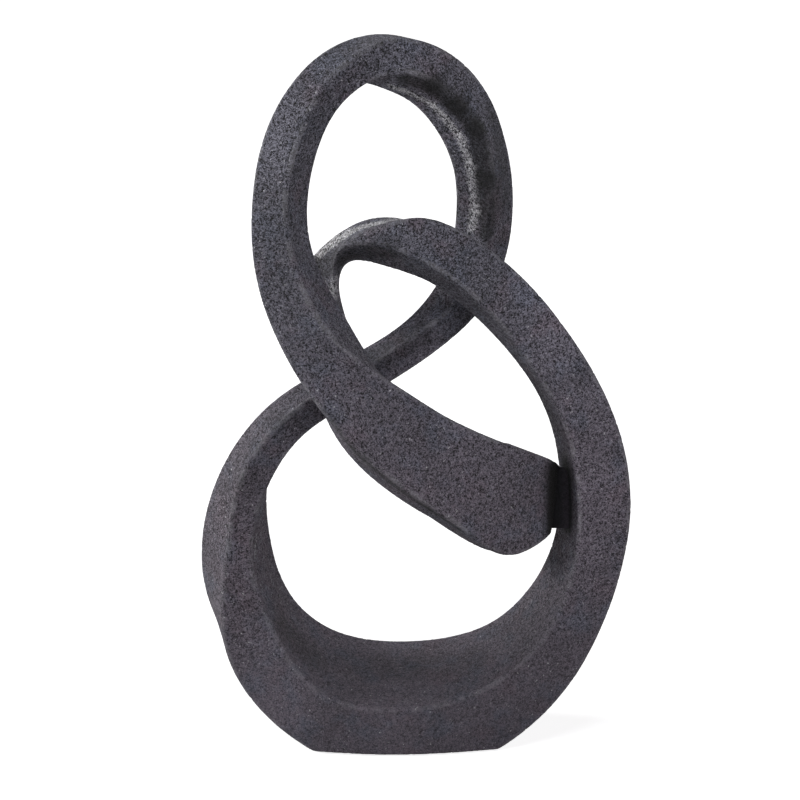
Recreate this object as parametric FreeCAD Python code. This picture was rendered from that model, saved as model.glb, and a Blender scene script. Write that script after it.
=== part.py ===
import FreeCAD, Part
import math
import os

# A free-standing knot of one closed four-faced bar on a ground-flat foot.
# A knotted bar can't be drawn from a mould in one piece, so it is eleven cast lengths.
# The lengths meet end to end on hidden steel dowels, under one coat of sand-textured paint.
# X runs to the right, Y away from the viewer and Z up; the origin is under the middle of the foot.

# Driving sizes of the knot, in millimetres
KNOT_WIDTH = 220.0
KNOT_DEPTH = 90.0
KNOT_HEIGHT = 380.0
BAR_THICKNESS = 25.0
RIDGE_BEVEL = 1.2

# Dowels in the joints
DOWEL_RADIUS = 3.0
DOWEL_LENGTH = 16.0
DOWEL_CLEARANCE = 0.05
DOWEL_END_GAP = 0.5

# Slot where the return bend comes up to the right limb, its width as seen from the front,
# and the rubber pad in it
SLOT_GAP = 0.8
SLOT_PAD_HEIGHT = 32.0
SLOT_PAD_DEPTH = 5.0
SLOT_PAD_BITE = 9.0

# Oval felt pad under the foot, about the middle of the foot's flat
FELT_LENGTH = 86.0
FELT_WIDTH = 52.0
FELT_THICKNESS = 1.0
FELT_MIDDLE_X = -10.0
FELT_MIDDLE_Y = 3.4

# Stations round the closed centre line, each with these columns:
# its name; its place as shares of the knot's width, depth and height;
# the way its first face looks, as parts of a direction;
# its first face, its opposite face, its depth and the opposite face's sideways shift, as shares of the bar.
# The first face is the front of the foot, and the second face, on its inner side, is the foot's top.
STATION_SHARES = [
    ("low_right", (0.337, 0.048, 0.150), (0.20, -0.96, -0.15), (1.17, 1.26, 1.84, 0.00)),
    ("right_low", (0.415, 0.048, 0.259), (0.27, -0.96, -0.05), (1.12, 1.08, 1.48, 0.00)),
    ("right_middle", (0.431, 0.026, 0.363), (0.27, -0.96, 0.00), (1.20, 1.15, 1.28, 0.00)),
    ("right_high", (0.384, -0.007, 0.482), (0.24, -0.96, 0.14), (1.10, 1.06, 1.20, 0.00)),
    ("arc_right", (0.273, -0.063, 0.589), (0.14, -0.92, 0.37), (1.08, 1.00, 1.12, 0.00)),
    ("arc_over", (0.132, -0.118, 0.676), (0.20, -0.88, 0.43), (1.02, 1.00, 1.08, 0.00)),
    ("arc_top", (0.001, -0.096, 0.716), (0.00, -0.85, 0.52), (0.84, 1.12, 1.04, -0.04)),
    ("arc_end", (-0.066, -0.063, 0.715), (0.00, -0.80, 0.50), (0.42, 1.14, 1.00, -0.19)),
    ("arc_left", (-0.134, 0.004, 0.710), (0.00, -0.94, 0.34), (0.12, 0.94, 0.88, -0.06)),
    ("crook", (-0.204, 0.170, 0.642), (0.50, -0.85, 0.10), (0.12, 0.96, 0.96, 0.00)),
    ("rear_high", (-0.197, 0.353, 0.544), (0.80, -0.50, 0.30), (0.40, 0.88, 1.00, 0.00)),
    ("rear_middle", (-0.091, 0.359, 0.409), (0.65, -0.10, 0.75), (0.80, 0.88, 1.08, 0.00)),
    ("rear_low", (0.077, 0.282, 0.342), (0.45, 0.00, 0.90), (0.88, 0.88, 1.26, 0.00)),
    ("bend_back", (0.221, 0.159, 0.323), (0.25, 0.00, 0.95), (0.88, 0.88, 1.75, 0.00)),
    ("bend_tip", (0.293, -0.007, 0.351), (0.10, -0.05, 1.00), (0.88, 0.88, 1.50, 0.00)),
    ("bend_front", (0.230, -0.196, 0.364), (0.40, 0.30, 0.87), (0.88, 0.88, 2.22, 0.00)),
    ("front_wrist", (0.145, -0.259, 0.389), (0.45, 0.40, 0.80), (0.92, 0.92, 2.02, 0.00)),
    ("front_low", (0.069, -0.274, 0.413), (0.50, 0.46, 0.73), (0.96, 0.96, 1.88, 0.00)),
    ("front_middle", (-0.095, -0.318, 0.489), (0.60, 0.37, 0.70), (1.00, 1.00, 1.60, 0.00)),
    ("front_high", (-0.226, -0.307, 0.601), (0.78, -0.30, 0.58), (1.00, 1.04, 1.18, 0.00)),
    ("left_low", (-0.300, -0.274, 0.710), (0.90, -0.34, 0.30), (1.00, 1.04, 0.92, 0.00)),
    ("left_middle", (-0.304, -0.241, 0.795), (0.90, -0.44, 0.00), (1.00, 1.00, 0.80, 0.00)),
    ("left_high", (-0.266, -0.196, 0.878), (0.80, -0.55, -0.30), (0.88, 0.96, 0.80, 0.00)),
    ("crown_left", (-0.183, -0.118, 0.942), (0.45, -0.80, -0.40), (0.79, 0.88, 0.70, 0.00)),
    ("crown", (-0.048, -0.018, 0.961), (0.00, -0.93, 0.37), (0.70, 1.18, 0.96, 0.04)),
    ("crown_right", (0.075, 0.082, 0.919), (0.52, -0.72, 0.40), (0.80, 1.32, 0.96, 0.09)),
    ("loop_right", (0.143, 0.159, 0.842), (0.90, -0.38, 0.24), (0.98, 1.02, 0.92, 0.00)),
    ("loop_low", (0.166, 0.240, 0.742), (0.81, -0.59, 0.00), (0.94, 0.98, 0.86, 0.00)),
    ("under_arc", (0.125, 0.262, 0.639), (0.66, -0.70, -0.25), (0.84, 0.88, 0.82, 0.00)),
    ("cross_right", (0.015, 0.137, 0.573), (0.37, -0.90, -0.22), (0.68, 0.68, 0.70, 0.00)),
    ("cross_middle", (-0.151, 0.026, 0.518), (0.40, -0.90, -0.20), (0.66, 0.68, 0.72, 0.00)),
    ("cross_left", (-0.289, -0.018, 0.470), (0.40, -0.90, -0.20), (0.68, 0.72, 0.76, 0.00)),
    ("limb_high", (-0.392, -0.018, 0.391), (0.30, -0.90, -0.20), (0.67, 1.06, 0.96, 0.14)),
    ("limb_middle", (-0.436, -0.007, 0.279), (0.30, -0.93, 0.00), (0.55, 1.55, 1.20, 0.24)),
    ("limb_low", (-0.399, 0.004, 0.164), (0.10, -0.98, -0.10), (1.12, 1.70, 1.76, 0.13)),
    ("foot_left", (-0.247, 0.026, 0.064), (0.00, -0.98, -0.15), (1.30, 1.81, 2.44, 0.00)),
    ("foot_middle", (-0.034, 0.015, 0.034), (0.00, -0.98, -0.17), (1.72, 1.80, 2.72, 0.00)),
    ("foot_right", (0.159, 0.026, 0.059), (0.10, -0.97, -0.17), (1.56, 1.65, 2.40, 0.00)),
]

# The stations that move together to keep the slot's gap
SLOT_STATIONS = ("bend_back", "bend_tip", "bend_front")

# The cast lengths in order, each with the station where it starts and the one where it ends
CASTINGS = [
    ("right_limb", "low_right", "arc_right"),
    ("second_arc", "arc_right", "arc_left"),
    ("crook", "arc_left", "rear_middle"),
    ("rear_arm", "rear_middle", "bend_back"),
    ("return_bend", "bend_back", "bend_front"),
    ("front_arm", "bend_front", "front_high"),
    ("upper_left_bow", "front_high", "crown_left"),
    ("upper_right_bow", "crown_left", "loop_low"),
    ("cross_arm", "loop_low", "cross_left"),
    ("left_limb", "cross_left", "limb_low"),
    ("foot_bow", "limb_low", "low_right"),
]

# No bevel takes more than this share of the face that it trims
BEVEL_LIMIT_SHARE = 0.3
SEWING_TOLERANCE = 1e-4
# The ridges all run the same way round, so no ruled face turns one of them round
KEEP_DIRECTION = 1


def vector(x, y, z):
    return FreeCAD.Vector(x, y, z)


def station_place(shares):
    """A station's centre, over the felt pad."""
    return vector(shares[0] * KNOT_WIDTH, shares[1] * KNOT_DEPTH, shares[2] * KNOT_HEIGHT + FELT_THICKNESS)


def closed_parameters(places):
    """The distance round the centre line at each station, with the full round at the end."""
    parameters = [0.0]
    for here, there in zip(places, places[1:] + places[:1]):
        parameters.append(parameters[-1] + here.distanceToPoint(there))
    return parameters


def closed_curve(places, parameters):
    """The smooth closed curve through the places."""
    curve = Part.BSplineCurve()
    curve.interpolate(Points=places, PeriodicFlag=True, Parameters=parameters)
    return curve


def section_axes(facing, tangent):
    """The two directions across the bar: out of its first face, and out of the face beside it."""
    normal = vector(*facing)
    normal = normal - tangent * normal.dot(tangent)
    normal.normalize()
    side = normal.cross(tangent)
    return normal, side


def section_corners(sizes):
    """The four corners of a section, as distances along its side and its normal."""
    first, opposite, depth, shift = [share * BAR_THICKNESS for share in sizes]
    return [
        (first / 2, depth / 2),
        (-first / 2, depth / 2),
        (shift - opposite / 2, -depth / 2),
        (shift + opposite / 2, -depth / 2),
    ]


def toward(corner, other):
    """The bevel's end on the side that runs from a corner to another."""
    run = math.dist(corner, other)
    share = min(RIDGE_BEVEL, BEVEL_LIMIT_SHARE * run) / run
    return (corner[0] + (other[0] - corner[0]) * share, corner[1] + (other[1] - corner[1]) * share)


def section_points(place, tangent, facing, sizes):
    """The eight points of a bevelled section round a place."""
    normal, side = section_axes(facing, tangent)
    corners = section_corners(sizes)
    points = []
    for index, corner in enumerate(corners):
        for other in (corners[index - 1], corners[(index + 1) % len(corners)]):
            across, out = toward(corner, other)
            points.append(place + side * across + normal * out)
    return points


def bar_stations(places):
    """The centre line, its parameter at each station, and each station's section."""
    parameters = closed_parameters(places)
    centre = closed_curve(places, parameters)
    sections = []
    for (_, _, facing, sizes), place, parameter in zip(STATION_SHARES, places, parameters):
        tangent = centre.tangent(parameter)[0]
        sections.append(section_points(place, tangent, facing, sizes))
    return centre, parameters, sections


def slotted_places():
    """Every station's centre, with the return bend moved along X to keep the slot's gap."""
    names = [row[0] for row in STATION_SHARES]
    places = [station_place(shares) for _, shares, _, _ in STATION_SHARES]
    sections = bar_stations(places)[2]
    limb_side = min(point.x for point in sections[names.index("right_middle")])
    bend_side = max(point.x for point in sections[names.index("bend_tip")])
    move = vector(limb_side - SLOT_GAP - bend_side, 0, 0)
    return [place + move if name in SLOT_STATIONS else place for name, place in zip(names, places)]


def bar_frame():
    """The centre line, its parameter at each station, and the eight ridge curves along the bar."""
    centre, parameters, sections = bar_stations(slotted_places())
    ridges = [closed_curve(list(points), parameters) for points in zip(*sections)]
    return centre, parameters, ridges


def cap(ridges, parameter):
    """The flat end of a length, where the ridges pass a station."""
    points = [ridge.value(parameter) for ridge in ridges]
    return Part.Face(Part.makePolygon(points + points[:1]))


def bar_length(ridges, start, end):
    """The solid between two stations: a ruled face between each two ridges, and a flat end each way."""
    edges = [ridge.toShape(start, end) for ridge in ridges]
    faces = [Part.makeRuledSurface(edge, edges[index - 1], KEEP_DIRECTION) for index, edge in enumerate(edges)]
    faces.append(cap(ridges, start))
    faces.append(cap(ridges, end))
    shell = Part.Shell(faces)
    shell.sewShape(SEWING_TOLERANCE)
    solid = Part.Solid(shell)
    if solid.Volume < 0:
        solid.reverse()
    return solid


def dowel_rod(place, direction, radius, length):
    """A round rod with its middle at a place."""
    return Part.makeCylinder(radius, length, place - direction * (length / 2), direction)


def dowels(joints):
    """The steel dowels, one across each joint."""
    return [dowel_rod(place, direction, DOWEL_RADIUS, DOWEL_LENGTH) for place, direction in joints]


def dowel_bores(joints):
    """The holes for the dowels, with running clearance and a gap at each end."""
    radius = DOWEL_RADIUS + DOWEL_CLEARANCE
    length = DOWEL_LENGTH + 2 * DOWEL_END_GAP
    return [dowel_rod(place, direction, radius, length) for place, direction in joints]


def ground_block():
    """The space under the foot's flat, larger than the foot."""
    corner = vector(-KNOT_WIDTH, -KNOT_WIDTH, FELT_THICKNESS - KNOT_WIDTH)
    return Part.makeBox(2 * KNOT_WIDTH, 2 * KNOT_WIDTH, KNOT_WIDTH, corner)


def slot_pad(tip, bend, limb):
    """The rubber pad that fills the slot between the return bend and the right limb."""
    on_bend, on_limb = bend.distToShape(limb)[1][0]
    middle = vector((on_bend.x + on_limb.x) / 2, tip.y, tip.z)
    corner = middle - vector(SLOT_PAD_BITE, SLOT_PAD_DEPTH / 2, SLOT_PAD_HEIGHT / 2)
    block = Part.makeBox(2 * SLOT_PAD_BITE, SLOT_PAD_DEPTH, SLOT_PAD_HEIGHT, corner)
    return block.cut(bend).cut(limb)


def felt_pad():
    """The oval felt pad stuck under the foot's flat."""
    middle = vector(FELT_MIDDLE_X, FELT_MIDDLE_Y, 0)
    outline = Part.Ellipse(middle, FELT_LENGTH / 2, FELT_WIDTH / 2).toShape()
    return Part.Face(Part.Wire(outline)).extrude(vector(0, 0, FELT_THICKNESS))


def build():
    """Every piece of the knot by name, as a list of solids."""
    centre, parameters, ridges = bar_frame()
    at_station = {row[0]: parameter for row, parameter in zip(STATION_SHARES, parameters)}
    starts = [at_station[start] for _, start, _ in CASTINGS]
    ends = starts[1:] + parameters[-1:]
    joints = [(centre.value(start), centre.tangent(start)[0]) for start in starts]
    bores = dowel_bores(joints)
    pieces = {}
    for index, (name, _, _) in enumerate(CASTINGS):
        solid = bar_length(ridges, starts[index], ends[index])
        for bore in (bores[index], bores[(index + 1) % len(bores)]):
            solid = solid.cut(bore)
        pieces[name] = [solid]
    pieces["foot_bow"] = [pieces["foot_bow"][0].cut(ground_block())]
    tip = centre.value(at_station["bend_tip"])
    pieces["slot_pad"] = [slot_pad(tip, pieces["return_bend"][0], pieces["right_limb"][0])]
    pieces["dowel_pins"] = dowels(joints)
    pieces["felt_pad"] = [felt_pad()]
    return pieces


def main():
    os.makedirs("parts", exist_ok=True)
    for name, solids in build().items():
        shape = solids[0] if len(solids) == 1 else Part.makeCompound(solids)
        shape.exportStep(os.path.join("parts", name + ".step"))
        box = shape.optimalBoundingBox()
        print(name, len(solids), shape.isValid(), round(shape.Volume), round(box.ZMin, 1), round(box.ZMax, 1))


main()
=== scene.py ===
import math

import bmesh
import bpy
import numpy as np
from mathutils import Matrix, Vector
from mathutils.bvhtree import BVHTree
from mathutils.kdtree import KDTree


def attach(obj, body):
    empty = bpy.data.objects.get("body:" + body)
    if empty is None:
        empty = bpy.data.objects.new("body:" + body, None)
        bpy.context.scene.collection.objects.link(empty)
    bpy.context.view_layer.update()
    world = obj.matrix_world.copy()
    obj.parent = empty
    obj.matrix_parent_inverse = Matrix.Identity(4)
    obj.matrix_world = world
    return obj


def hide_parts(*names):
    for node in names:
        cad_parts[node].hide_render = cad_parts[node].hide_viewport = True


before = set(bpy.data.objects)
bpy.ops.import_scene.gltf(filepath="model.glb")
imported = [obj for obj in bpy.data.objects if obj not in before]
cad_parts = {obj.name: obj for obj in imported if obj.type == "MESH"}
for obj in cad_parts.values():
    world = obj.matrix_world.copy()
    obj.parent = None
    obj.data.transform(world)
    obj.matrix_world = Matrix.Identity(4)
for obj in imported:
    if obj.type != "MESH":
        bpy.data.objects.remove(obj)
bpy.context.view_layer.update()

MM = 0.001

# The cast lengths in their order round the knot, each joined to the next one, and the last to the first
CASTINGS = (
    "right_limb",
    "second_arc",
    "crook",
    "rear_arm",
    "return_bend",
    "front_arm",
    "upper_left_bow",
    "upper_right_bow",
    "cross_arm",
    "left_limb",
    "foot_bow",
)

# The painted skin over the cast lengths
SKIN_CELL = 0.6 * MM
WELD_REACH = 0.005 * MM
END_FACE_REACH = 0.02 * MM
RIM_STEP = 0.5 * MM
RIM_REACH = 2.5 * MM
RIDGE_ANGLE = math.radians(22)
RIDGE_STEP = 0.4 * MM
FOOT_EDGE_HEIGHT = 2.0 * MM
FOOT_CUT_TOP = 80.0 * MM
LENGTH_SAMPLES = 50

# The slot at the return bend: its middle, how far from the rubber the paint holds painted shade and how bright it
# is there, how much sooner the limb's side is bright again, and how far the skin has no grain
SLOT_MIDDLE_X = 77.0 * MM
CREVICE_REACH = 15.0 * MM
CREVICE_SHADE = 0.03
LIMB_SIDE_FADE = 2.4
SMOOTH_REACH = 4.0 * SKIN_CELL

# The sand grain that the casting leaves in the skin, and the noise levels between which a pit deepens
SAND = {
    "Grain Size": 1.5 * MM,
    "Grain Depth": 0.16 * MM,
    "Pit Size": 2.4 * MM,
    "Pit Depth": 0.30 * MM,
    "Wave Size": 22.0 * MM,
    "Wave Depth": 0.35 * MM,
    "Seed": 7.0,
}
PIT_LEVELS = (0.44, 0.30)

# The finishes
PAINT_LOW = (0.099, 0.087, 0.106, 1.0)
PAINT_HIGH = (0.090, 0.088, 0.108, 1.0)
PAINT_COOL = (0.084, 0.090, 0.118, 1.0)
PAINT_WARM = (0.106, 0.084, 0.102, 1.0)
# The colour of light grains, and of the ridges' wear and painted highlight
PAINT_WORN_AND_HIGHLIGHT = (0.300, 0.295, 0.315, 1.0)
# The colour of rubbed wear, and of painted highlights on faces that catch the light
PAINT_RUBBED_AND_HIGHLIGHT = (0.520, 0.515, 0.530, 1.0)
# Black rubber that fills the dark seam at the slot; its near-black also stands in for the seam's shade
RUBBER = (0.006, 0.006, 0.007, 1.0)
RUBBER_DUST = (0.030, 0.030, 0.032, 1.0)
# The dark of the limb's shaded face, painted onto the rubber as shade
LIMB_SHADE_ON_RUBBER = (0.024, 0.021, 0.026, 1.0)
STEEL = (0.55, 0.55, 0.56, 1.0)
STEEL_DULL = (0.36, 0.36, 0.38, 1.0)
FELT = (0.006, 0.006, 0.007, 1.0)
FELT_LIGHT = (0.035, 0.035, 0.040, 1.0)

# The paint's grain and its relief, its roughness from dark grains to light ones, its drifts of colour,
# its ridges lighter as wear and painted highlight, and how strongly each kind of grain shows
PAINT_GRAIN = 0.7 * MM
PAINT_RELIEF = 1.2 * MM
PAINT_ROUGHNESS = (0.92, 0.66)
PAINT_PATCH = 20 * MM
PAINT_DRIFT = 0.6
RIDGE_WEAR_AND_HIGHLIGHT_REACH = 1.6 * MM
GRAIN_CONTRAST = 2.2
DARK_GRAIN_SHARE = 0.35
LIGHT_GRAIN_SHARE = 0.26
PIT_SHADE = 0.55

# What changes up the knot: the heights between which it does, in mm, and its value at each
HIGH_PAINT_RISE = (130, 280, 0.0, 1.0)
SANDY_FOOT_RISE = (20, 110, 0.5, 1.0)
SANDY_TOP_RISE = (180, 330, 0.0, 0.45)
# The coat darker low on the knot and lighter high up, as painted shade and painted light
PAINTED_LIGHT_RISE = (30, 230, 0.87, 1.06)
# The ridges' wear and painted highlight grow stronger up the knot
RIDGE_WEAR_AND_HIGHLIGHT_RISE = (60, 160, 0.16, 0.34)

# The sandy coat's layers of grain: how much finer than the named size, the share and the step of the seed
GRAIN_LAYERS = (
    (1.7, 0.35, 0.0),
    (1.0, 0.45, 5.0),
    (0.45, 0.20, 9.0),
)

# The levels of that grain between which the speckle, the light grains and the dark pits come out
SPECKLE_LEVELS = (0.34, 0.66)
LIGHT_LEVELS = (0.57, 0.66)
DARK_LEVELS = (0.44, 0.34)

# Streaks where the coat is rubbed light, and painted with highlights where faces catch the light: the start, the
# end and the reach in mm, and how strongly
RUBBED_AND_HIGHLIGHT_STREAKS = (
    ((-49, 14, 263), (-42, 12, 270), 8, 0.75),
    ((-42, 12, 270), (-33, 4, 276), 10, 0.8),
    ((-33, 4, 276), (-19, 0, 282), 9, 0.8),
    ((-19, 0, 282), (-8, 9, 282), 8, 0.55),
    ((-40, 2, 251), (-42, 6, 243), 6, 0.5),
    ((-12, -1, 353), (9, 1, 343), 4, 0.55),
    ((9, 1, 343), (23, 2, 326), 4.5, 0.55),
    ((23, 2, 326), (29, 5, 310), 5, 0.5),
    ((29, 5, 310), (31, 10, 286), 6, 0.45),
    ((31, 10, 286), (29, 13, 276), 6, 0.45),
    ((-83, -3, 114), (-84, -7, 104), 3, 0.3),
)

# Soft streaks of painted shade on the coat, and of painted light where the strength is below zero: the start, the
# end and the reach in mm, and how much
PAINTED_SHADE_AND_LIGHT_STREAKS = (
    ((-4, -9, 357), (9, -8, 354), 8, 0.7),
    ((9, -8, 354), (21, -4, 343), 9, 0.7),
    ((21, -4, 343), (31, -2, 331), 8, 0.72),
    ((31, -2, 331), (36, 4, 304), 8, 0.72),
    ((36, 4, 304), (38, 8, 275), 8, 0.72),
    ((40, 14, 338), (45, 14, 291), 12, 0.42),
    ((-48, 9, 256), (-35, 0, 264), 9, 0.5),
    ((-35, 0, 264), (-12, -16, 273), 11, 0.5),
    ((-24, -1, 210), (3, 2, 222), 12, 0.48),
    ((-68, -9, 63), (-55, -5, 48), 16, 0.46),
    ((-34, 4, 38), (30, 0, 41), 18, 0.28),
    ((-42, -42, 190), (-32, -43, 176), 5, 0.5),
    ((-32, -43, 176), (6, -42, 143), 5, 0.6),
    ((6, -42, 143), (23, -39, 131), 5, 0.6),
    ((74, -5, 150), (72, -5, 121), 16, 0.96),
    ((-75, -31, 306), (-64, -38, 272), 16, 0.18),
    ((-72, -14, 178), (-83, -13, 148), 16, 0.25),
    ((59, -18, 246), (74, -16, 219), 22, -0.28),
    ((90, -15, 185), (92, -15, 120), 24, -0.25),
    ((-86, -22, 57), (-68, -26, 30), 24, -0.22),
    ((-66, -25, 345), (-70, -31, 318), 16, -0.16),
)

# The lamps: each one's direction and height in degrees, with 0 at the front, its power in watts and its tint
LAMPS = (
    ("side lamp", -100, 18, 21.5, (1.0, 0.99, 0.98)),
    ("upper lamp", -25, 52, 7.5, (0.93, 0.97, 1.0)),
    ("fill lamp", 30, 24, 9.0, (1.0, 0.955, 0.985)),
)
LAMP_WIDTH = 0.7
LAMP_DISTANCE = 1.7
LAMP_AIM = Vector((0.0, 0.0, 0.19))

# The surround and the floor, whose glow rises from near the knot to far from it
SURROUND_LIGHT = 0.03
FLOOR_HALF_SIDE = 3.0
FLOOR_NEAR = 0.25
FLOOR_FAR = 0.9
FLOOR_NEAR_GLOW = 0.80
FLOOR_FAR_GLOW = 1.05

# The photograph's viewpoint
PICTURE_SIDE = 800
FOCAL_PIXELS = 2800
SENSOR = 36.0
VIEW_ELEVATION = math.radians(17)
VIEW_DISTANCE = 1456 * MM
VIEW_TARGET = Vector((-7.30, 2.34, 187.12)) * MM


def merged_copy(name):
    """A bmesh of a CAD node with its doubled vertices merged."""
    shape = bmesh.new()
    shape.from_mesh(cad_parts[name].data)
    bmesh.ops.remove_doubles(shape, verts=shape.verts, dist=WELD_REACH)
    return shape


def islands(shape):
    """The faces of a bmesh in connected groups."""
    left = set(shape.faces)
    groups = []
    while left:
        stack = [left.pop()]
        group = list(stack)
        while stack:
            for edge in stack.pop().edges:
                for face in edge.link_faces:
                    if face in left:
                        left.remove(face)
                        stack.append(face)
                        group.append(face)
        groups.append(group)
    return groups


def along(first, second, step):
    """Even points from one place to another, no more than a step apart."""
    count = max(1, math.ceil((second - first).length / step))
    return [first.lerp(second, index / count) for index in range(count + 1)]


def end_face(shape, neighbour):
    """The faces of a cast length's end that lie on its neighbour."""
    return [face for face in shape.faces
            if neighbour.find_nearest(face.calc_center_median())[3] < END_FACE_REACH]


def face_plane(faces):
    """A place on a flat group of faces, and the direction that it faces in."""
    normal = sum((face.normal * face.calc_area() for face in faces), Vector()).normalized()
    return faces[0].calc_center_median(), normal


def keep_outside(shape, ends):
    """Takes the end faces and the dowel bores off a cast length."""
    bmesh.ops.delete(shape, geom=ends, context="FACES")
    groups = sorted(islands(shape), key=lambda group: sum(face.calc_area() for face in group))
    inner = [face for group in groups[:-1] for face in group]
    bmesh.ops.delete(shape, geom=inner, context="FACES")


def rim_points(shape, place, normal):
    """Points round the open end of a cast length that lies in a plane."""
    points = []
    for edge in shape.edges:
        first, second = (vert.co for vert in edge.verts)
        in_plane = all(abs((end - place).dot(normal)) < END_FACE_REACH for end in (first, second))
        if edge.is_boundary and in_plane:
            points.extend(along(first, second, RIM_STEP))
    return points


def joined_bar():
    """One closed bmesh of the whole bar's outside, and the joint at the start of each cast length."""
    shapes = [merged_copy(name) for name in CASTINGS]
    trees = [BVHTree.FromBMesh(shape) for shape in shapes]
    joints = []
    bar = bmesh.new()
    for index, shape in enumerate(shapes):
        start = end_face(shape, trees[index - 1])
        end = end_face(shape, trees[(index + 1) % len(trees)])
        place, normal = face_plane(start)
        keep_outside(shape, start + end)
        joints.append((place, normal, rim_points(shape, place, normal)))
        part = bpy.data.meshes.new("part")
        shape.to_mesh(part)
        bar.from_mesh(part)
        bpy.data.meshes.remove(part)
        shape.free()
    bmesh.ops.remove_doubles(bar, verts=bar.verts, dist=WELD_REACH)
    return bar, joints


def point_tree(points):
    """A tree that finds the nearest of some points."""
    tree = KDTree(len(points))
    for index, point in enumerate(points):
        tree.insert(point, index)
    tree.balance()
    return tree


def ridge_points(bar):
    """Points along the bar's ridges, all but the foot's lower edge."""
    points = []
    for edge in bar.edges:
        first, second = (vert.co for vert in edge.verts)
        if edge.calc_face_angle(0) > RIDGE_ANGLE and max(first.z, second.z) > FOOT_EDGE_HEIGHT:
            points.extend(along(first, second, RIDGE_STEP))
    return points


def set_up_modifier(piece, tree, values):
    """Adds a Geometry Nodes modifier and sets its inputs by name."""
    modifier = piece.modifiers.new(tree.name, "NODES")
    modifier.node_group = tree
    sockets = {item.name: item.identifier for item in tree.interface.items_tree if item.in_out == "INPUT"}
    for name, value in values.items():
        modifier[sockets[name]] = value


def make_plain(piece):
    """Turns a piece with modifiers into a plain mesh without them."""
    depsgraph = bpy.context.evaluated_depsgraph_get()
    mesh = bpy.data.meshes.new_from_object(piece.evaluated_get(depsgraph))
    piece.modifiers.clear()
    piece.data = mesh


def even_skin(bar):
    """The bar's outside as one closed mesh of small even quads."""
    mesh = bpy.data.meshes.new("skin")
    bar.to_mesh(mesh)
    skin = bpy.data.objects.new("skin", mesh)
    bpy.context.scene.collection.objects.link(skin)
    remesh = skin.modifiers.new("even quads", "REMESH")
    remesh.mode = "VOXEL"
    remesh.voxel_size = SKIN_CELL
    remesh.use_smooth_shade = True
    make_plain(skin)
    return skin


class Tree:
    """Short calls for building a node tree."""

    def __init__(self, tree):
        self.tree = tree

    def feed(self, socket, value):
        """Links another node's output to a socket, or sets the socket's own value."""
        if isinstance(value, bpy.types.NodeSocket):
            self.tree.links.new(value, socket)
        else:
            socket.default_value = value

    def fill(self, node, **inputs):
        """Feeds a node's inputs by name, with an underscore for a space."""
        for name, value in inputs.items():
            self.feed(node.inputs[name.replace("_", " ")], value)

    def node(self, kind, settings=(), **inputs):
        """A new node with its settings and its inputs."""
        made = self.tree.nodes.new(kind)
        for name, value in dict(settings).items():
            setattr(made, name, value)
        self.fill(made, **inputs)
        return made

    def group(self, tree, **inputs):
        """The outputs of a node group that is put to use with the given inputs."""
        return self.node("ShaderNodeGroup", {"node_tree": tree}, **inputs).outputs

    def math(self, operation, *values, clamp=False):
        """One step of arithmetic on values."""
        made = self.node("ShaderNodeMath", {"operation": operation, "use_clamp": clamp})
        for socket, value in zip(made.inputs, values):
            self.feed(socket, value)
        return made.outputs[0]

    def vector_math(self, operation, first, second, output="Vector"):
        """One step of arithmetic on two vectors."""
        made = self.node("ShaderNodeVectorMath", {"operation": operation})
        self.feed(made.inputs[0], first)
        self.feed(made.inputs[1], second)
        return made.outputs[output]

    def dot(self, first, second):
        """The dot product of two vectors."""
        return self.vector_math("DOT_PRODUCT", first, second, "Value")

    def scaled(self, color, factor):
        """A colour or a direction times a factor."""
        return self.node("ShaderNodeVectorMath", {"operation": "SCALE"}, Vector=color, Scale=factor).outputs[0]

    def mix(self, share, first, second):
        """A colour between two, by the second one's share."""
        made = self.node("ShaderNodeMix", {"data_type": "RGBA"})
        for index, value in ((0, share), (6, first), (7, second)):
            self.feed(made.inputs[index], value)
        return made.outputs[2]

    def ramp(self, value, low, high, start=0.0, end=1.0):
        """The value's run from low to high, smoothed, as a run from start to end."""
        made = self.node("ShaderNodeMapRange", {"interpolation_type": "SMOOTHSTEP"},
                         Value=value, From_Min=low, From_Max=high, To_Min=start, To_Max=end)
        return made.outputs["Result"]

    def rise(self, height, row):
        """What changes up the knot, from its row of heights and values."""
        low, high, start, end = row
        return self.ramp(height, low * MM, high * MM, start, end)

    def noise(self, place, scale, detail, roughness, seed):
        """Soft noise from 0 to 1."""
        made = self.node("ShaderNodeTexNoise", {"noise_dimensions": "4D", "normalize": True},
                         Vector=place, Scale=scale, Detail=detail, Roughness=roughness, W=seed)
        return made.outputs["Fac"]

    def axis(self, place, letter):
        """How far a place lies along X, Y or Z."""
        return self.node("ShaderNodeSeparateXYZ", Vector=place).outputs[letter]

    def attribute(self, name):
        """A value that is kept on the mesh."""
        return self.node("ShaderNodeAttribute", {"attribute_name": name}).outputs["Fac"]

    def bump(self, height, strength, distance):
        """The normal that a height gives."""
        made = self.node("ShaderNodeBump", Strength=strength, Distance=distance, Height=height)
        return made.outputs[0]


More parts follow.
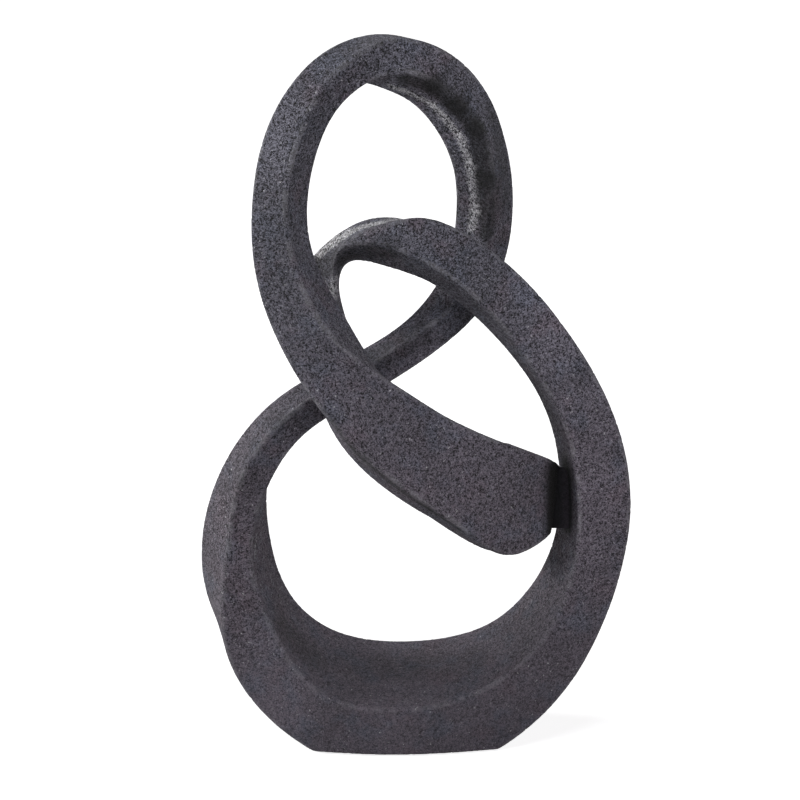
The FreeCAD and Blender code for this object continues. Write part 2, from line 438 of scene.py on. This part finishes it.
def sand_cast_tree():
    """Sinks sand grain, pits and slow waves into a mesh, except beside the rubber, and keeps the pits on it."""
    tree = bpy.data.node_groups.new("sand cast skin", "GeometryNodeTree")
    inputs = {"Geometry": "Geometry", **dict.fromkeys(SAND, "Float"), "Material": "Material"}
    for name, kind in inputs.items():
        tree.interface.new_socket(name, in_out="INPUT", socket_type="NodeSocket" + kind)
    tree.interface.new_socket("Geometry", in_out="OUTPUT", socket_type="NodeSocketGeometry")
    make = Tree(tree)
    given = make.node("NodeGroupInput").outputs
    place = make.node("GeometryNodeInputPosition").outputs[0]
    normal = make.node("GeometryNodeInputNormal").outputs[0]

    def layer(name, detail, roughness, step):
        scale = make.math("DIVIDE", 1.0, given[name + " Size"])
        return make.noise(place, scale, detail, roughness, make.math("ADD", given["Seed"], step))

    def sunk(name, share):
        return make.math("MULTIPLY", share, given[name + " Depth"])

    grain = make.math("SUBTRACT", 1.0, layer("Grain", 1.0, 0.6, 0.0))
    pits = make.ramp(layer("Pit", 2.0, 0.55, 11.0), *PIT_LEVELS)
    waves = layer("Wave", 1.0, 0.5, 23.0)
    sink = make.math("ADD", sunk("Grain", grain), sunk("Pit", pits))
    sink = make.math("ADD", sink, sunk("Wave", waves))
    crevice = make.node("GeometryNodeInputNamedAttribute", {"data_type": "FLOAT"}, Name="crevice_distance")
    sink = make.math("MULTIPLY", sink, make.ramp(crevice.outputs[0], SKIN_CELL, SMOOTH_REACH))
    inwards = make.scaled(normal, make.math("MULTIPLY", sink, -1.0))
    store = make.node("GeometryNodeStoreNamedAttribute", {"data_type": "FLOAT", "domain": "POINT"},
                      Geometry=given["Geometry"], Name="pits", Value=pits)
    moved = make.node("GeometryNodeSetPosition", Geometry=store.outputs[0], Offset=inwards)
    real = make.node("GeometryNodeRealizeInstances", Geometry=moved.outputs[0])
    coated = make.node("GeometryNodeSetMaterial", Geometry=real.outputs[0], Material=given["Material"])
    make.node("NodeGroupOutput", Geometry=coated.outputs[0])
    return tree


def vertex_places(mesh):
    """The places of a mesh's vertices, one to a row."""
    places = np.empty(len(mesh.vertices) * 3, np.float32)
    mesh.vertices.foreach_get("co", places)
    return places.reshape(-1, 3)


def keep_distances(mesh, name, distances):
    """Keeps a distance in metres on the mesh for each of its vertices."""
    attribute = mesh.attributes.new(name, "FLOAT", "POINT")
    attribute.data.foreach_set("value", np.array(distances, np.float32))


def add_ridge_distance(mesh, ridges):
    """Keeps each vertex's distance to the nearest ridge on the mesh."""
    distances = [ridges.find(place)[2] for place in vertex_places(mesh)]
    keep_distances(mesh, "ridge_distance", distances)


def add_crevice_distance(mesh):
    """Keeps each vertex's distance to the rubber in the slot on the mesh, up to the crevice's reach."""
    rubber = BVHTree.FromBMesh(merged_copy("slot_pad"))
    found = (rubber.find_nearest(place, CREVICE_REACH)[3] for place in vertex_places(mesh))
    distances = [CREVICE_REACH if distance is None else distance for distance in found]
    keep_distances(mesh, "crevice_distance", distances)


def near_rim(shape, places, rim):
    """The faces, edges and vertices of a bmesh that lie near an end's rim."""
    low = np.min(rim, axis=0) - RIM_REACH
    high = np.max(rim, axis=0) + RIM_REACH
    inside = np.nonzero(((places > low) & (places < high)).all(axis=1))[0]
    tree = point_tree(rim)
    verts = {shape.verts[index] for index in inside if tree.find(places[index])[2] < RIM_REACH}
    edges = {edge for vert in verts for edge in vert.link_edges}
    faces = {face for vert in verts for face in vert.link_faces}
    return [*verts, *edges, *faces]


def cut_at_joints(shape, joints):
    """Parts the skin at every joint between two cast lengths."""
    places = np.array([vert.co for vert in shape.verts])
    cuts = []
    for place, normal, rim in joints:
        shape.verts.ensure_lookup_table()
        near = near_rim(shape, places, rim)
        cut = bmesh.ops.bisect_plane(shape, geom=near, dist=WELD_REACH, plane_co=place, plane_no=normal)
        cuts.extend(item for item in cut["geom_cut"] if isinstance(item, bmesh.types.BMEdge))
    bmesh.ops.split_edges(shape, edges=cuts)


def foot_cut(shape):
    """A cut across the foot's middle, which parts its large skin in two."""
    rim = [vert.co.copy() for vert in shape.verts if abs(vert.co.x) < SKIN_CELL and vert.co.z < FOOT_CUT_TOP]
    return Vector(), Vector((1, 0, 0)), rim


def close_ends(shape):
    """Closes the open ends of a length, each with a flat sharp-edged face."""
    open_edges = [edge for edge in shape.edges if edge.is_boundary]
    for edge in open_edges:
        edge.smooth = False
    made = bmesh.ops.edgenet_fill(shape, edges=open_edges)["faces"]
    bmesh.ops.triangulate(shape, faces=made)
    bmesh.ops.recalc_face_normals(shape, faces=shape.faces)


def loose_lengths(skin):
    """The skin's separate lengths as objects of their own."""
    bpy.ops.object.select_all(action="DESELECT")
    bpy.context.view_layer.objects.active = skin
    skin.select_set(True)
    bpy.ops.object.mode_set(mode="EDIT")
    bpy.ops.mesh.separate(type="LOOSE")
    bpy.ops.object.mode_set(mode="OBJECT")
    return list(bpy.context.selected_objects)


def casting_of(length, trees):
    """The name of the cast length that lies nearest to a length of skin."""
    vertices = length.data.vertices
    samples = [vertices[index].co for index in range(0, len(vertices), len(vertices) // LENGTH_SAMPLES)]
    return min(CASTINGS, key=lambda name: sum(trees[name].find_nearest(place)[3] for place in samples))


def foot_side(length):
    """The word for the half of the foot that a length of skin covers."""
    middle = sum(corner[0] for corner in length.bound_box)
    return "left" if middle < 0 else "right"


def painted_lengths(skin, joints):
    """Parts the skin into lengths, each a closed piece that stands for its casting."""
    shape = bmesh.new()
    shape.from_mesh(skin.data)
    cut_at_joints(shape, [*joints, foot_cut(shape)])
    shape.to_mesh(skin.data)
    shape.free()
    trees = {name: BVHTree.FromBMesh(merged_copy(name)) for name in CASTINGS}
    for length in loose_lengths(skin):
        name = casting_of(length, trees)
        shape = bmesh.new()
        shape.from_mesh(length.data)
        close_ends(shape)
        shape.to_mesh(length.data)
        shape.free()
        length.name = "painted_" + name
        if name == "foot_bow":
            length.name += "_" + foot_side(length)
        length.data.name = length.name
        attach(length, "root")
        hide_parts(name)


def effect_group(name, inputs, outputs):
    """An empty shader node group, with its inputs' values by name and the names of its outputs."""
    tree = bpy.data.node_groups.new(name, "ShaderNodeTree")
    for title, value in inputs.items():
        kind = "NodeSocketFloat"
        if isinstance(value, tuple):
            kind = "NodeSocketColor" if len(value) == 4 else "NodeSocketVector"
        socket = tree.interface.new_socket(title, in_out="INPUT", socket_type=kind)
        socket.default_value = value
    for title in outputs:
        kind = "NodeSocketColor" if title == "Color" else "NodeSocketFloat"
        tree.interface.new_socket(title, in_out="OUTPUT", socket_type=kind)
    make = Tree(tree)
    return make, make.node("NodeGroupInput").outputs, make.node("NodeGroupOutput").inputs


def sand_grain_group():
    """Light grains, dark pits and the height of a sandy coat, in one grain size."""
    make, given, result = effect_group(
        "sand grain",
        {"Vector": (0.0, 0.0, 0.0), "Grain Size": 1.2 * MM, "Seed": 3.0},
        ("Speckle", "Light Grains", "Dark Pits", "Height"),
    )
    scale = make.math("DIVIDE", 1.0, given["Grain Size"])
    speckle = 0.0
    for finer, share, step in GRAIN_LAYERS:
        seed = make.math("ADD", given["Seed"], step)
        layer = make.noise(given["Vector"], make.math("MULTIPLY", scale, finer), 1.0, 0.5, seed)
        speckle = make.math("ADD", speckle, make.math("MULTIPLY", layer, share))
    make.feed(result["Speckle"], make.ramp(speckle, *SPECKLE_LEVELS))
    make.feed(result["Light Grains"], make.ramp(speckle, *LIGHT_LEVELS))
    make.feed(result["Dark Pits"], make.ramp(speckle, *DARK_LEVELS))
    make.feed(result["Height"], speckle)
    return make.tree


def mottled_coat_group():
    """A coat's colour with slow drifts to its cooler, warmer, lighter and darker shades."""
    grey = (0.1, 0.1, 0.1, 1.0)
    make, given, result = effect_group(
        "mottled coat",
        {"Vector": (0.0, 0.0, 0.0), "Patch Size": 30.0 * MM, "Coat": grey, "Cool": grey, "Warm": grey,
         "Amount": 0.5, "Seed": 1.0},
        ("Color",),
    )
    scale = make.math("DIVIDE", 1.0, given["Patch Size"])
    cool = make.noise(given["Vector"], scale, 3.0, 0.6, given["Seed"])
    warm = make.noise(given["Vector"], scale, 3.0, 0.6, make.math("ADD", given["Seed"], 4.0))
    tone = make.noise(given["Vector"], make.math("MULTIPLY", scale, 0.6), 4.0, 0.55,
                      make.math("ADD", given["Seed"], 8.0))
    cool = make.math("MULTIPLY", make.ramp(cool, 0.48, 0.66), given["Amount"])
    warm = make.math("MULTIPLY", make.ramp(warm, 0.50, 0.68), given["Amount"])
    color = make.mix(cool, given["Coat"], given["Cool"])
    color = make.mix(warm, color, given["Warm"])
    make.feed(result["Color"], make.scaled(color, make.ramp(tone, 0.3, 0.7, 0.86, 1.14)))
    return make.tree


def ridge_wear_and_highlight_group():
    """Where a ridge is lighter, as wear and a painted highlight, broken up so that it runs ragged."""
    make, given, result = effect_group(
        "worn ridge",
        {"Vector": (0.0, 0.0, 0.0), "Ridge Distance": 1.0, "Reach": 1.0 * MM, "Raggedness": 0.6,
         "Break Size": 9.0 * MM, "Seed": 2.0},
        ("Mask",),
    )
    rag = make.noise(given["Vector"], make.math("DIVIDE", 0.25, given["Reach"]), 3.0, 0.7, given["Seed"])
    swing = make.math("MULTIPLY", given["Raggedness"], given["Reach"])
    rag = make.math("MULTIPLY", make.math("SUBTRACT", rag, 0.5), swing)
    distance = make.math("ADD", given["Ridge Distance"], make.math("MULTIPLY", rag, 4.0))
    near = make.ramp(distance, given["Reach"], make.math("MULTIPLY", given["Reach"], 0.25))
    breaks = make.noise(given["Vector"], make.math("DIVIDE", 1.0, given["Break Size"]), 3.0, 0.6,
                        make.math("ADD", given["Seed"], 6.0))
    make.feed(result["Mask"], make.math("MULTIPLY", near, make.ramp(breaks, 0.38, 0.6)))
    return make.tree


def streak_group():
    """A streak from one place to another: a mask that is gritty at its sides, and a soft fall-off for painted shade
    and light.
    """
    make, given, result = effect_group(
        "streak",
        {"Vector": (0.0, 0.0, 0.0), "Start": (0.0, 0.0, 0.0), "End": (1.0, 0.0, 0.0), "Reach": 5.0 * MM,
         "Grit": 1.6 * MM, "Seed": 4.0},
        ("Mask", "Shade"),
    )
    run = make.vector_math("SUBTRACT", given["End"], given["Start"])
    from_start = make.vector_math("SUBTRACT", given["Vector"], given["Start"])
    share = make.math("DIVIDE", make.dot(from_start, run), make.dot(run, run), clamp=True)
    nearest = make.vector_math("ADD", given["Start"], make.scaled(run, share))
    away = make.vector_math("SUBTRACT", given["Vector"], nearest)
    away = make.math("SQRT", make.dot(away, away))
    near = make.ramp(away, given["Reach"], make.math("MULTIPLY", given["Reach"], 0.15))
    grit = make.noise(given["Vector"], make.math("DIVIDE", 1.0, given["Grit"]), 3.0, 0.7, given["Seed"])
    edge = make.math("SUBTRACT", 0.74, make.math("MULTIPLY", near, 0.36))
    make.feed(result["Mask"], make.ramp(make.math("SUBTRACT", grit, edge), -0.12, 0.16))
    make.feed(result["Shade"], make.ramp(away, given["Reach"], make.math("MULTIPLY", given["Reach"], 0.35)))
    return make.tree


def new_material(name):
    """A material, its shader, the calls for its nodes, and the place on the piece."""
    material = bpy.data.materials.new(name)
    material.use_nodes = True
    make = Tree(material.node_tree)
    place = make.node("ShaderNodeTexCoord").outputs["Object"]
    return material, material.node_tree.nodes["Principled BSDF"], make, place


def streaks(make, place, group, rows, output):
    """The mask or the shade of each streak in a table, and how strong it is."""
    for start, end, reach, strength in rows:
        streak = make.group(group, Vector=place, Start=Vector(start) * MM, End=Vector(end) * MM, Reach=reach * MM)
        yield streak[output], strength


def crevice_shade(make, place):
    """How bright the paint stays under the painted shade beside the slot, where the limb's side fades back sooner
    than the bend's.
    """
    sideways = make.axis(place, "X")
    fade = make.ramp(sideways, SLOT_MIDDLE_X - 1.0 * MM, SLOT_MIDDLE_X + 1.0 * MM, 1.0, LIMB_SIDE_FADE)
    distance = make.math("MULTIPLY", make.attribute("crevice_distance"), fade)
    return make.ramp(distance, 1.0 * MM, CREVICE_REACH, CREVICE_SHADE, 1.0)


def sand_textured_paint(sand_grain):
    """Matte charcoal paint over the sand grain: wear and painted highlights on ridges and streaks, painted shade
    and light along streaks, up the knot and beside the slot.
    """
    material, shader, make, place = new_material("sand_textured_paint")
    height = make.axis(place, "Z")
    grain = make.group(sand_grain, Vector=place, Grain_Size=PAINT_GRAIN)
    streak = streak_group()
    sandy = make.math("ADD", make.rise(height, SANDY_FOOT_RISE), make.rise(height, SANDY_TOP_RISE))
    paint = make.mix(make.rise(height, HIGH_PAINT_RISE), PAINT_LOW, PAINT_HIGH)
    color = make.group(mottled_coat_group(), Vector=place, Coat=paint, Cool=PAINT_COOL, Warm=PAINT_WARM,
                       Amount=PAINT_DRIFT, Patch_Size=PAINT_PATCH)["Color"]
    # Rubbed wear and painted highlights along the streaks
    for rubbed_and_highlit, strength in streaks(make, place, streak, RUBBED_AND_HIGHLIGHT_STREAKS, "Mask"):
        color = make.mix(make.math("MULTIPLY", rubbed_and_highlit, strength), color, PAINT_RUBBED_AND_HIGHLIGHT)

    contrast = make.math("MULTIPLY", make.math("SUBTRACT", grain["Speckle"], 0.5), sandy)
    speckled = make.math("MULTIPLY_ADD", contrast, GRAIN_CONTRAST, 1.0)
    # Painted shade low on the knot and painted light high up, times the grain's speckle
    color = make.scaled(color, make.math("MULTIPLY", make.rise(height, PAINTED_LIGHT_RISE), speckled))
    dark = make.math("MULTIPLY", grain["Dark Pits"], sandy)
    color = make.scaled(color, make.math("MULTIPLY_ADD", dark, -DARK_GRAIN_SHARE, 1.0))
    # Painted shade in the pits that the sand sinks into the skin
    color = make.scaled(color, make.ramp(make.attribute("pits"), 0.0, 1.0, 1.0, PIT_SHADE))

    # The ridges lighter as wear and painted highlights, more strongly higher up
    worn_and_highlit = make.group(ridge_wear_and_highlight_group(), Vector=place, Ridge_Distance=make.attribute("ridge_distance"),
                      Reach=RIDGE_WEAR_AND_HIGHLIGHT_REACH)["Mask"]
    color = make.mix(make.math("MULTIPLY", worn_and_highlit, make.rise(height, RIDGE_WEAR_AND_HIGHLIGHT_RISE)), color, PAINT_WORN_AND_HIGHLIGHT)
    light = make.math("MULTIPLY", grain["Light Grains"], make.math("MULTIPLY", sandy, LIGHT_GRAIN_SHARE))
    color = make.mix(light, color, PAINT_WORN_AND_HIGHLIGHT)
    # Painted shade along the streaks, and painted light where the strength is below zero
    for shade, strength in streaks(make, place, streak, PAINTED_SHADE_AND_LIGHT_STREAKS, "Shade"):
        color = make.scaled(color, make.math("MULTIPLY_ADD", shade, -strength, 1.0))
    # Painted shade in the crevice beside the slot
    color = make.scaled(color, crevice_shade(make, place))

    relief = make.math("MULTIPLY", grain["Height"], sandy)
    roughness = make.ramp(grain["Speckle"], 0.0, 1.0, *PAINT_ROUGHNESS)
    make.fill(shader, Base_Color=color, Roughness=roughness, Specular_IOR_Level=0.35,
              Normal=make.bump(relief, 1.0, PAINT_RELIEF))
    return material


def black_rubber(sand_grain):
    """Dull black rubber, a little dusty, painted toward the limb's side in the dark of the limb's shaded face, as
    painted shade.
    """
    material, shader, make, place = new_material("black_rubber")
    grain = make.group(sand_grain, Vector=place, Grain_Size=0.7 * MM, Seed=31.0)
    dust = make.noise(place, 1 / (6 * MM), 4.0, 0.65, 17.0)
    at_limb = make.ramp(make.axis(place, "X"), SLOT_MIDDLE_X - 2.0 * MM, SLOT_MIDDLE_X + 3.5 * MM)
    color = make.mix(make.ramp(dust, 0.5, 0.8, 0.0, 0.5), RUBBER, RUBBER_DUST)
    # Painted shade: toward the limb the rubber takes the dark of the limb's shaded face
    color = make.scaled(make.mix(at_limb, color, LIMB_SHADE_ON_RUBBER), make.ramp(grain["Speckle"], 0.0, 1.0, 0.6, 1.4))
    make.fill(shader, Base_Color=color, Roughness=make.ramp(dust, 0.3, 0.7, 0.8, 0.95),
              Specular_IOR_Level=0.15, Normal=make.bump(grain["Height"], 0.3, 0.1 * MM))
    return material


def dowel_steel():
    """Ground steel rod with fine grinding marks under a thin film."""
    material, shader, make, place = new_material("dowel_steel")
    marks = make.noise(place, 1 / (0.5 * MM), 3.0, 0.7, 19.0)
    film = make.noise(place, 1 / (5 * MM), 3.0, 0.6, 27.0)
    make.fill(shader, Base_Color=make.mix(film, STEEL, STEEL_DULL), Metallic=1.0,
              Roughness=make.ramp(marks, 0.3, 0.7, 0.28, 0.5), Normal=make.bump(marks, 0.2, 0.05 * MM))
    return material


def black_felt():
    """Black needled felt with short tangled fibres."""
    material, shader, make, place = new_material("black_felt")
    fibres = make.node("ShaderNodeTexNoise", Vector=place, Scale=1 / (0.6 * MM), Detail=5.0, Roughness=0.75,
                       Distortion=2.5).outputs["Fac"]
    clumps = make.noise(place, 1 / (4 * MM), 3.0, 0.6, 41.0)
    color = make.mix(make.ramp(fibres, 0.35, 0.7), FELT, FELT_LIGHT)
    make.fill(shader, Base_Color=make.scaled(color, make.ramp(clumps, 0.3, 0.7, 0.8, 1.2)), Roughness=0.95,
              Sheen_Weight=0.3, Normal=make.bump(fibres, 0.7, 0.2 * MM))
    return material


def finish_nodes(finishes):
    """Gives each CAD node that stays its finish."""
    for name, material in finishes.items():
        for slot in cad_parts[name].material_slots:
            slot.material = material


def paint_over_castings(paint):
    """Covers the castings with one skin of sand grain and paint, and parts it at their joints."""
    bar, joints = joined_bar()
    ridges = point_tree(ridge_points(bar))
    skin = even_skin(bar)
    bar.free()
    add_ridge_distance(skin.data, ridges)
    add_crevice_distance(skin.data)
    set_up_modifier(skin, sand_cast_tree(), {**SAND, "Material": paint})
    make_plain(skin)
    painted_lengths(skin, joints)


def white_surround():
    """A surround that looks white and adds little light."""
    world = bpy.data.worlds.new("surround")
    bpy.context.scene.world = world
    world.use_nodes = True
    make = Tree(world.node_tree)
    ray = make.node("ShaderNodeLightPath").outputs
    seen = make.math("MAXIMUM", ray["Is Camera Ray"], ray["Is Glossy Ray"])
    seen = make.math("MAXIMUM", seen, ray["Is Transmission Ray"])
    make.fill(world.node_tree.nodes["Background"], Color=(1, 1, 1, 1),
              Strength=make.ramp(seen, 0.0, 1.0, SURROUND_LIGHT, 1.0))


def pale_floor():
    """A pale matte floor that keeps the knot's shadow and glows to the camera only."""
    material, shader, make, place = new_material("pale_floor")
    away = make.math("SQRT", make.dot(place, place))
    glow = make.ramp(away, FLOOR_NEAR, FLOOR_FAR, FLOOR_NEAR_GLOW, FLOOR_FAR_GLOW)
    seen = make.node("ShaderNodeLightPath").outputs["Is Camera Ray"]
    make.fill(shader, Base_Color=(0.8, 0.8, 0.8, 1), Roughness=0.9, Specular_IOR_Level=0.0,
              Emission_Color=(1, 1, 1, 1), Emission_Strength=make.math("MULTIPLY", seen, glow))
    corners = [(x * FLOOR_HALF_SIDE, y * FLOOR_HALF_SIDE, 0) for x, y in ((-1, -1), (1, -1), (1, 1), (-1, 1))]
    mesh = bpy.data.meshes.new("floor")
    mesh.from_pydata(corners, [], [(0, 1, 2, 3)])
    mesh.materials.append(material)
    floor = bpy.data.objects.new("floor", mesh)
    bpy.context.scene.collection.objects.link(floor)


def soft_light(name, azimuth, elevation, power, tint):
    """A round soft lamp that looks at the knot's middle from a direction, with 0 at the front."""
    azimuth, elevation = math.radians(azimuth), math.radians(elevation)
    away = Vector((math.sin(azimuth), -math.cos(azimuth), 0)) * math.cos(elevation)
    away.z = math.sin(elevation)
    data = bpy.data.lights.new(name, "AREA")
    data.shape = "DISK"
    data.size = LAMP_WIDTH
    data.energy = power
    data.color = tint
    light = bpy.data.objects.new(name, data)
    light.location = LAMP_AIM + away * LAMP_DISTANCE
    light.rotation_euler = away.to_track_quat("Z", "Y").to_euler()
    bpy.context.scene.collection.objects.link(light)


def camera():
    """The camera at the photograph's viewpoint."""
    data = bpy.data.cameras.new("camera")
    data.sensor_width = SENSOR
    data.lens = FOCAL_PIXELS / PICTURE_SIDE * SENSOR
    back = Vector((0, -math.cos(VIEW_ELEVATION), math.sin(VIEW_ELEVATION)))
    eye = bpy.data.objects.new("camera", data)
    eye.location = VIEW_TARGET + back * VIEW_DISTANCE
    eye.rotation_euler = (-back).to_track_quat("-Z", "Y").to_euler()
    bpy.context.scene.collection.objects.link(eye)
    bpy.context.scene.camera = eye


sand_grain = sand_grain_group()
paint_over_castings(sand_textured_paint(sand_grain))
finish_nodes({"slot_pad": black_rubber(sand_grain), "dowel_pins": dowel_steel(), "felt_pad": black_felt()})
white_surround()
pale_floor()
for lamp in LAMPS:
    soft_light(*lamp)
camera()

bpy.context.scene.view_settings.view_transform = "Standard"
